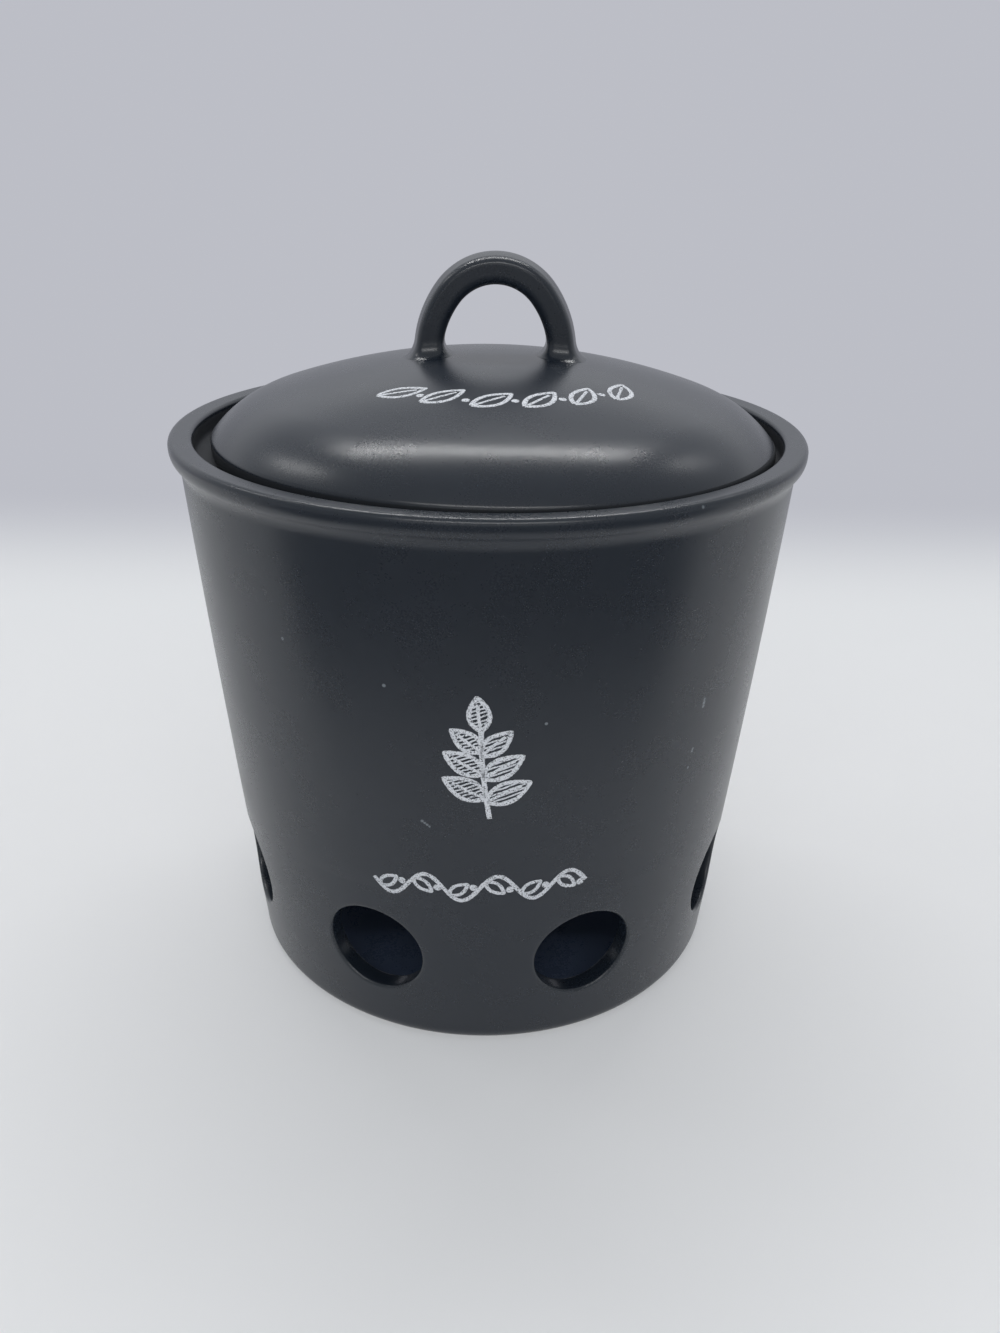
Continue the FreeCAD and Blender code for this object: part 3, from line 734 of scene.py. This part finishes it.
def sprig():
    """A leafy sprig in chalk: stem, seven leaves and their hatching."""
    rng = np.random.default_rng(7)
    rise = np.linspace(0, 1, 16)
    stem = np.stack([1.6 - 3.4 * rise + 1.6 * rise ** 2, -13.2 + 20.5 * rise], 1)
    strokes, widths = [stem], [1.05]
    leaves = [
        (0.2, 28, 9.6, 4.6), (0.24, 152, 9.4, 4.6), (0.47, 34, 9.0, 4.3), (0.52, 148, 8.8, 4.3),
        (0.73, 44, 7.6, 3.8), (0.77, 140, 7.4, 3.8), (1.0, 96, 7.4, 3.9),
    ]
    for share, heading, length, width in leaves:
        base = np.array([np.interp(share, rise, stem[:, 0]), np.interp(share, rise, stem[:, 1])])
        outline, rib = leaf(base, heading, length, width)
        strokes += [outline, rib]
        widths += [0.9, 0.65]
        for stroke in hatching(outline, 22, 0.8, rng):
            strokes.append(stroke)
            widths.append(0.38)
    return strokes, widths


def ball(middle, radius):
    """A dot, as a small closed ring that its stroke fills."""
    turn = np.linspace(0, 2 * np.pi, 11)
    return np.stack([radius * np.cos(turn), radius * np.sin(turn)], 1) + middle


def running_scroll(length, height, waves):
    """A slow wavy stem with a small leaf and a dot in every hollow."""
    u = np.linspace(-length / 2, length / 2, 30 * waves)
    phase = u / length * 2 * np.pi * waves
    stem = np.stack([u, height / 2 * np.sin(phase) + 0.25 * np.sin(phase * 0.31)], 1)
    strokes, widths = [stem], [1.0]
    for i in range(2 * waves):
        middle = length * ((i + 0.5) / (2 * waves) - 0.5)
        opening = 1 if (i + waves) % 2 else -1
        foot = (middle - 2.4, np.interp(middle - 2.4, stem[:, 0], stem[:, 1]))
        outline, _ = leaf(np.array(foot), opening * 38, 4.8, 2.3)
        strokes += [outline, ball((middle + 2.5, opening * 0.3), 0.4)]
        widths += [0.85, 0.95]
    return strokes, widths


def leaf_row(length, count):
    """A row of slanting leaves with dots between them."""
    rng = np.random.default_rng(11)
    strokes, widths = [], []
    for i in range(count):
        middle = length * ((i + 0.5) / count - 0.5)
        heading = 40 + rng.normal(0, 5)
        outline, rib = leaf(np.array([middle - 3.2, -3.6]), heading, 9.4, 4.4)
        strokes += [outline, rib]
        widths += [1.0, 0.7]
        if i:
            strokes.append(ball((middle - length / count / 2, -1.4 + rng.normal(0, 0.3)), 0.4))
            widths.append(0.9)
    return strokes, widths


def chalk_tree(name, aim, **sizes):
    """Turns flat strokes into thin ribbons of colour laid on a skin."""
    graph, strokes, size = new_tree(
        name, step=0.25, film=0.05, rough=0.5, seed=5, skin=None, finish="", **sizes,
    )
    line = graph.use("GeometryNodeMeshToCurve", {"Mesh": strokes})
    line = graph.use(
        "GeometryNodeResampleCurve", {"Curve": line, "Length": size["step"] * MM}, mode="LENGTH"
    )
    line = graph.use("GeometryNodeSetCurveNormal", {"Curve": line}, mode="Z_UP")
    place = graph.scaled(graph.use("GeometryNodeInputPosition"), 1 / MM)
    width = graph.use(
        "GeometryNodeInputNamedAttribute", {"Name": "width"}, "Attribute", data_type="FLOAT"
    )
    ragged = 1.0 + (graph.noise(place, 2.2, 2.0, 0.7, size["seed"]) - 0.5) * size["rough"] * 2.0
    ribbon = graph.use(
        "GeometryNodeCurvePrimitiveCircle", {"Resolution": 8, "Radius": 0.5 * MM}, mode="RADIUS"
    )
    flat = graph.use(
        "GeometryNodeTransform", {"Geometry": ribbon, "Scale": (1.0, 0.2, 1.0)}
    )
    tube = graph.use(
        "GeometryNodeCurveToMesh",
        {"Curve": line, "Profile Curve": flat, "Scale": width * ragged, "Fill Caps": True},
    )
    u, v, lift = graph.split(place)
    origin, heading = aim(graph, u, v, size)
    skin = graph.use("GeometryNodeObjectInfo", {"Object": size["skin"]}, "Geometry")
    cast = graph.node(
        "GeometryNodeRaycast",
        {
            "Target Geometry": skin, "Source Position": origin,
            "Ray Direction": heading, "Ray Length": 1.0,
        },
    )
    height = graph.math("SIGN", lift) * size["film"] * MM
    height = height * graph.math("MINIMUM", graph.math("ABSOLUTE", lift) * 25.0, 1.0)
    spot = graph.vector(
        "ADD",
        graph.wire(cast, "Hit Position"),
        graph.scaled(graph.wire(cast, "Hit Normal"), height),
    )
    laid = graph.use("GeometryNodeSetPosition", {"Geometry": tube, "Position": spot})
    close_tree(graph, laid, size["finish"])
    return graph


def aim_at_wall(graph, u, v, size):
    """Straight in at the pot's wall, for a point u round it and v up it."""
    turn = (u + size["round"]) / size["wall_radius"]
    sine, cosine = graph.math("SINE", turn), graph.math("COSINE", turn)
    far = 0.2
    origin = graph.join(sine * far, cosine * -far, (v + size["up"]) * MM)
    return origin, graph.join(sine * -1.0, cosine, 0.0)


def aim_at_dome(graph, u, v, size):
    """Straight down at the lid, for a point u round a circle and v in from it."""
    turn = u / size["row_radius"] + size["row_turn"]
    reach = (size["row_radius"] - v) * MM
    x = graph.math("SINE", turn) * reach + size["right"] * MM
    y = graph.math("COSINE", turn) * reach * -1.0 + size["back"] * MM
    return graph.join(x, y, 0.3), (0.0, 0.0, -1.0)


def chalk(name, drawing, graph, skin, finish, **sizes):
    strokes, widths = drawing
    flat = [np.stack([s[:, 0], s[:, 1], 0 * s[:, 0]], 1) for s in strokes]
    marks = [np.full(len(s), w) for s, w in zip(strokes, widths)]
    start = line_mesh(name + "_lines", flat, width=marks)
    return grow(name, start, graph, finish, skin=skin, **sizes)


def new_finish(name):
    finish = bpy.data.materials.new(name)
    finish.use_nodes = True
    return finish, Graph(finish.node_tree)


def end_finish(graph, shader):
    out = graph.tree.nodes.new("ShaderNodeOutputMaterial")
    graph.tree.links.new(shader.socket, out.inputs["Surface"])


def millimetres(graph):
    """Where a point lies on the object, counted in millimetres."""
    return graph.scaled(graph.use("ShaderNodeTexCoord", out="Object"), 1 / MM)


def near(graph, place, spot, radius):
    """1 within a small ball round one spot, fading to 0 at its edge."""
    gone = graph.vector("DISTANCE", place, spot, out="Value")
    return 1.0 - graph.fade(gone, radius * 0.6, radius)


def outer_line(graph, z):
    """How far out the wall's skin lies, near enough, as a number that a finish can use."""
    return z * ((NECK[0] - BASE_RADIUS) / NECK[1]) + BASE_RADIUS


def wall_spot(along, z):
    """A spot on the pot's wall, so far round from the front and so high."""
    reach = outer_reach(z)
    turn = along / reach
    return (float(reach * np.sin(turn)), float(-reach * np.cos(turn)), z)


def satin_charcoal():
    """Satin charcoal glaze: clouded colour, fine orange peel, specks and a pit."""
    finish, graph = new_finish("satin_charcoal")
    place = millimetres(graph)
    x, y, z = graph.split(place)
    reach = graph.math("SQRT", x * x + y * y)
    cloud = graph.noise(place, 0.035, 3.0, 0.55, 2.0)
    mottle = graph.noise(place, 0.4, 3.0, 0.6, 4.0)
    grain = graph.noise(place, 2.4, 2.0, 0.6, 6.0)

    tone = graph.mix(cloud, (0.0088, 0.0136, 0.0218, 1.0), (0.0124, 0.0180, 0.0280, 1.0))
    tone = graph.mix(graph.fade(mottle, 0.35, 0.75) * 0.2, tone, (0.0170, 0.0230, 0.0330, 1.0))
    inside = graph.math("LESS_THAN", reach, outer_line(graph, z) - WALL + 0.6)
    inside = inside * graph.math("GREATER_THAN", z, FLOOR_TOP - 0.5)
    inside = inside * graph.math("LESS_THAN", z, LEDGE_HEIGHT - LEDGE_THICKNESS)
    tone = graph.mix(inside, tone, (0.054, 0.074, 0.122, 1.0))
    specks = graph.use(
        "ShaderNodeTexVoronoi", {"Vector": place, "Scale": 0.055}, "Distance", feature="F1"
    )
    speck = graph.math("LESS_THAN", specks, 0.014)
    for spot, radius in PALE_SPECKS:
        speck = graph.math("MAXIMUM", speck, near(graph, place, spot, radius))
    tone = graph.mix(speck * 0.6, tone, (0.25, 0.28, 0.31, 1.0))
    lip = graph.use("ShaderNodeAttribute", out="Fac", attribute_name="lip")
    tone = graph.mix(lip * 0.5, tone, (0.026, 0.032, 0.039, 1.0))

    ring = graph.math("LESS_THAN", z, 0.5) * graph.math("GREATER_THAN", reach, FOOT_RING - 1.0)
    seat = graph.math("LESS_THAN", graph.math("ABSOLUTE", z - LEDGE_HEIGHT), 0.5)
    seat = seat * graph.math("LESS_THAN", graph.math("ABSOLUTE", reach - 58.6), 1.4)
    bare = graph.math("MAXIMUM", ring, seat)
    clay = graph.mix(mottle, (0.30, 0.27, 0.23, 1.0), (0.42, 0.38, 0.33, 1.0))
    tone = graph.mix(bare, tone, clay)

    # Painted shade: the gallery between the rim and the lid's seat is darkened where the recess lies
    # in shade; the same mask also makes it rougher.
    gallery_painted_shade = graph.math("LESS_THAN", reach, GALLERY_RADIUS + 0.5)
    gallery_painted_shade = gallery_painted_shade * graph.math("GREATER_THAN", reach, BORE_RADIUS - 0.5)
    gallery_painted_shade = gallery_painted_shade * graph.math("LESS_THAN", z, CREST_HEIGHT - 0.8)
    gallery_painted_shade = gallery_painted_shade * graph.math("GREATER_THAN", z, LEDGE_HEIGHT - 1.5)
    tone = graph.mix(gallery_painted_shade * 0.5, tone, (0.0040, 0.0050, 0.0065, 1.0))

    smudge = graph.noise(place, 0.09, 3.0, 0.6, 9.0)
    rough = 0.22 + smudge * 0.08 + grain * 0.04 + graph.math("MAXIMUM", bare, gallery_painted_shade) * 0.45
    peel = graph.noise(place, 0.9, 2.0, 0.5, 12.0)
    relief = peel * 0.15 + grain * 0.33 + cloud * 0.6
    for spot, radius in PITS:
        relief = relief - near(graph, place, spot, radius) * 6.0
    bump = graph.use(
        "ShaderNodeBump", {"Height": relief, "Strength": 0.42, "Distance": 0.03 * MM}, "Normal"
    )
    shader = graph.use(
        "ShaderNodeBsdfPrincipled",
        {"Base Color": tone, "Roughness": rough, "Normal": bump, "IOR": 1.56},
    )
    end_finish(graph, shader)
    return finish


def chalk_white():
    """Chalky white print, worn through in flecks."""
    finish, graph = new_finish("chalk_white")
    place = millimetres(graph)
    broken = graph.noise(place, 3.0, 4.0, 0.75, 3.0)
    kept = graph.fade(broken, 0.40, 0.47)
    patch = graph.noise(place, 0.5, 2.0, 0.5, 8.0)
    white = graph.mix(patch, (0.62, 0.65, 0.70, 1.0), (0.82, 0.84, 0.88, 1.0))
    tone = graph.mix(kept, (0.035, 0.042, 0.052, 1.0), white)
    shader = graph.use("ShaderNodeBsdfPrincipled", {"Base Color": tone, "Roughness": 0.7})
    end_finish(graph, shader)
    return finish


def dress(piece, body, *nodes):
    """Let a piece move with its body, and stand for the solids that it replaces."""
    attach(piece, body)
    if nodes:
        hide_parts(*nodes)
    return piece


RIM_CHIP = ((37.9, -58.4, 126.3), 0.5)
PALE_SPECKS = [
    (wall_spot(-19.4, 92.6), 0.45), (wall_spot(11.4, 85.6), 0.4), (wall_spot(-42.1, 97.6), 0.4),
    (wall_spot(49.1, 82.5), 0.5), (wall_spot(49.0, 81.7), 0.55), (wall_spot(48.9, 80.9), 0.5),
    (wall_spot(47.3, 71.0), 0.4), (wall_spot(47.1, 70.4), 0.4), (wall_spot(46.5, 66.5), 0.4),
    (wall_spot(-12.6, 62.2), 0.4), (wall_spot(-12.1, 61.8), 0.35), (wall_spot(-11.6, 61.4), 0.35),
    (wall_spot(-11.1, 61.0), 0.3),
    RIM_CHIP,
]
PITS = [((32.5, -53.3, 131.2), 0.9)]

glaze = satin_charcoal()
print_white = chalk_white()

pot = grow(
    "pot_body", pot_wedge(), ring_of_wedges(), glaze,
    vents=VENT_COUNT, first_turn=math.radians(180 / VENT_COUNT + VENT_TURN),
    rise=RIM_RISE, rise_from=LEDGE_HEIGHT, rise_to=BEAD[1] + 1.0,
    weld=0.0005, swell=0.06, wave=34.0, seed=1,
)
section = lid_section()
section = np.stack([section[:, 0], 0 * section[:, 0], section[:, 1]], 1)
lid = grow(
    "lid_dome", line_mesh("lid_section", [section]), turned_on_a_wheel(), glaze,
    steps_round=ROUND_STEPS, right=LID_PLACE[0], back=LID_PLACE[1], up=LID_PLACE[2],
    radius=LID_RADIUS, lean_right=LID_LEAN_RIGHT, lean_back=LID_LEAN_BACK,
    lean_from=0.2, lean_to=2.6, weld=0.0005, swell=0.05, wave=30.0, seed=2,
)
handle = grow(
    "strap_handle", line_mesh("handle_line", [handle_line()]), pulled_strap(), glaze,
    thickness=HANDLE_THICKNESS, width=HANDLE_WIDTH,
    outer_corner=HANDLE_OUTER_CORNER, inner_corner=HANDLE_INNER_CORNER,
    slope=HANDLE_SLOPE, ridge=HANDLE_RIDGE, ridge_ease=0.8, steps_round=72,
    crown_radius=CROWN_RADIUS, right=LID_PLACE[0], back=LID_PLACE[1],
    crown_middle=LID_PLACE[2] + CROWN[1], flare_out=FLARE_OUT, flare_up=FLARE_UP,
    swell=0.05, wave=9.0, seed=3,
)

on_wall = chalk_tree("chalk_on_wall", aim_at_wall, wall_radius=64.0, round=0.0, up=0.0)
on_dome = chalk_tree(
    "chalk_on_dome", aim_at_dome, row_radius=33.0, row_turn=0.0, right=0.0, back=0.0
)
chalk_sizes = dict(step=0.25, film=0.05, rough=0.5, seed=5)
wall_sprig = chalk(
    "wall_sprig", sprig(), on_wall, pot, print_white,
    wall_radius=64.0, round=-0.7, up=77.0, **chalk_sizes,
)
wall_scroll = chalk(
    "wall_scroll", running_scroll(45.0, 6.4, 3), on_wall, pot, print_white,
    wall_radius=62.0, round=-1.0, up=45.6, **chalk_sizes,
)
lid_leaves = chalk(
    "lid_leaves", leaf_row(55.5, 6), on_dome, lid, print_white,
    row_radius=33.0, row_turn=math.radians(6.5),
    right=LID_PLACE[0], back=LID_PLACE[1], **chalk_sizes,
)

dress(pot, "pot", "pot")
dress(lid, "lid", "lid")
dress(handle, "lid", "lid_handle")
dress(wall_sprig, "pot")
dress(wall_scroll, "pot")
dress(lid_leaves, "lid")


def studio_sweep():
    """A pale floor that curves up into a pale wall a little way behind the pot."""
    bend, back, side, front, top = 260.0, 620.0, 1600.0, -1500.0, 1600.0
    profile = chain(
        [(front, 0.0)],
        arc((back - bend, bend), bend, -90, 0, 24),
        [(back, top)],
    )
    rows = []
    for x in (-side, side):
        rows.append(np.stack([0 * profile[:, 0] + x, profile[:, 0], profile[:, 1]], 1))
    mesh = sheet_mesh("studio_sweep", (np.array(rows), 0.0, False))
    for face in mesh.polygons:
        face.use_smooth = True
    sweep = bpy.data.objects.new("studio_sweep", mesh)
    bpy.context.scene.collection.objects.link(sweep)

    finish, graph = new_finish("studio_paper")
    _, y, z = graph.split(millimetres(graph))
    light = graph.node("ShaderNodeLightPath")
    shown = graph.wire(light, "Is Camera Ray")
    shown = graph.math("MAXIMUM", shown, graph.wire(light, "Is Glossy Ray"))
    shown = graph.math("MAXIMUM", shown, graph.wire(light, "Is Transmission Ray"))
    wall = 0.38 + graph.fade(y, 60.0, 330.0) * 0.62
    far_floor, low_wall = (0.715, 0.735, 0.76, 1.0), (0.505, 0.515, 0.565, 1.0)
    glowing_band, high_wall = (0.92, 0.94, 0.98, 1.0), (0.52, 0.54, 0.58, 1.0)
    tone = graph.mix(graph.fade(y, 190.0, 380.0), far_floor, low_wall)
    # Painted light: a brighter band glows on the wall for camera and glossy rays, placed where the
    # lid reflects it.
    tone = graph.mix(graph.fade(z, 290.0, 440.0), tone, glowing_band)
    tone = graph.mix(graph.fade(z, 480.0, 640.0), tone, high_wall)
    # Painted light and shade: the paper's colour is lighter in front of the pot and darker behind,
    # evening out how the lamps fall on the floor.
    near_sheet, far_sheet = (0.95, 0.95, 0.95, 1.0), (0.825, 0.825, 0.83, 1.0)
    sheet = graph.mix(graph.fade(y, -300.0, 80.0), near_sheet, far_sheet)
    paper = graph.use(
        "ShaderNodeBsdfPrincipled",
        {"Base Color": sheet, "Roughness": 0.8, "Specular IOR Level": 0.0},
    )
    glow = graph.use("ShaderNodeEmission", {"Color": tone, "Strength": 1.0})
    both = graph.use("ShaderNodeMixShader", {0: wall * shown, 1: paper, 2: glow})
    end_finish(graph, both)
    mesh.materials.append(finish)
    return sweep


def dark_card():
    """A dark card lying in front of the pot, that only the glaze sees: painted shade standing in for
    the shaded floor by the camera, for the glaze to reflect.
    """
    front, near_edge, side = -900.0, -90.0, 700.0
    rows = np.array([
        [(-side, front, 4.0), (-side, near_edge, 4.0)],
        [(side, front, 4.0), (side, near_edge, 4.0)],
    ])
    mesh = sheet_mesh("dark_card", (rows, 0.0, False))
    card = bpy.data.objects.new("dark_card", mesh)
    bpy.context.scene.collection.objects.link(card)
    card.visible_camera = card.visible_diffuse = False
    card.visible_shadow = card.visible_transmission = False

    finish, graph = new_finish("dark_felt")
    x, y, _ = graph.split(millimetres(graph))
    far = graph.math("SQRT", x * x + y * y)
    solid = graph.fade(far, 110.0, 260.0) * 0.8
    # Painted shade: the near-black tone that the glaze reflects in place of the shaded floor in
    # front.
    shade_tone = graph.use("ShaderNodeBsdfDiffuse", {"Color": (0.02, 0.022, 0.025, 1.0)})
    clear = graph.use("ShaderNodeBsdfTransparent")
    end_finish(graph, graph.use("ShaderNodeMixShader", {0: solid, 1: clear, 2: shade_tone}))
    mesh.materials.append(finish)
    return card


def soft_lamp(name, place, aim, size, power, roll=0.0):
    """A rectangular soft lamp, placed and aimed in metres and turned about its own beam."""
    lamp = bpy.data.lights.new(name, "AREA")
    lamp.shape = "RECTANGLE"
    lamp.size, lamp.size_y = size
    lamp.energy = power
    holder = bpy.data.objects.new(name, lamp)
    holder.location = place
    way = Vector(aim) - Vector(place)
    holder.rotation_mode = "QUATERNION"
    turn = Matrix.Rotation(math.radians(roll), 3, "Z").to_quaternion()
    holder.rotation_quaternion = way.to_track_quat("-Z", "Y") @ turn
    bpy.context.scene.collection.objects.link(holder)
    return holder


def photo_camera():
    """A camera where the photograph was taken from, 24 cm in front and looking down 25 degrees."""
    place = (0.0, -0.2426, 0.1821)
    focal_length, film_width = 29.036, 36.0
    lens = bpy.data.cameras.new("photo_camera")
    lens.sensor_width = film_width
    lens.lens = focal_length
    lens.clip_start, lens.clip_end = 0.01, 20.0
    camera = bpy.data.objects.new("photo_camera", lens)
    right = Vector((0.99986253, -0.00641712, 0.0152885))
    up = Vector((-0.0110533, 0.42932247, 0.90308363))
    forward = Vector((0.0123589, 0.90312847, -0.42919252))
    turn = Matrix((right, up, -forward)).transposed().to_4x4()
    camera.matrix_world = Matrix.Translation(place) @ turn
    bpy.context.scene.collection.objects.link(camera)
    bpy.context.scene.camera = camera
    return camera


def plain_light():
    """An even pale room, a tube overhead and softer lamps round it."""
    world = bpy.data.worlds.new("pale_room")
    bpy.context.scene.world = world
    world.use_nodes = True
    graph = Graph(world.node_tree)
    _, back, up = graph.split(graph.use("ShaderNodeTexCoord", out="Generated"))
    low = graph.mix(graph.fade(back, -0.7, 0.5), 0.34, 0.66, "FLOAT")
    level = graph.mix(graph.fade(up, 0.15, 0.85), low, 0.44, "FLOAT")
    glow = graph.use("ShaderNodeBackground", {"Color": (0.93, 0.96, 1.0, 1.0), "Strength": level})
    out = graph.tree.nodes.new("ShaderNodeOutputWorld")
    graph.tree.links.new(glow.socket, out.inputs["Surface"])

    target = (0.0, 0.0, 0.1)
    soft_lamp("overhead_tube", (-0.02, 0.465, 1.15), target, (1.16, 0.045), 5.6)
    soft_lamp("left_lamp", (-1.11, 0.366, 1.166), target, (0.52, 0.11), 1.05, roll=49.5)
    soft_lamp("right_lamp", (1.066, 0.649, 1.063), target, (0.45, 0.15), 1.45, roll=90.0)
    soft_lamp("front_strip", (0.0, -0.95, 0.97), target, (1.2, 0.05), 3.6)
    soft_lamp("low_strip", (0.0, -0.95, 0.33), target, (1.0, 0.05), 0.4)


studio_sweep()
dark_card()
photo_camera()
plain_light()
bpy.context.scene.view_settings.view_transform = "Standard"
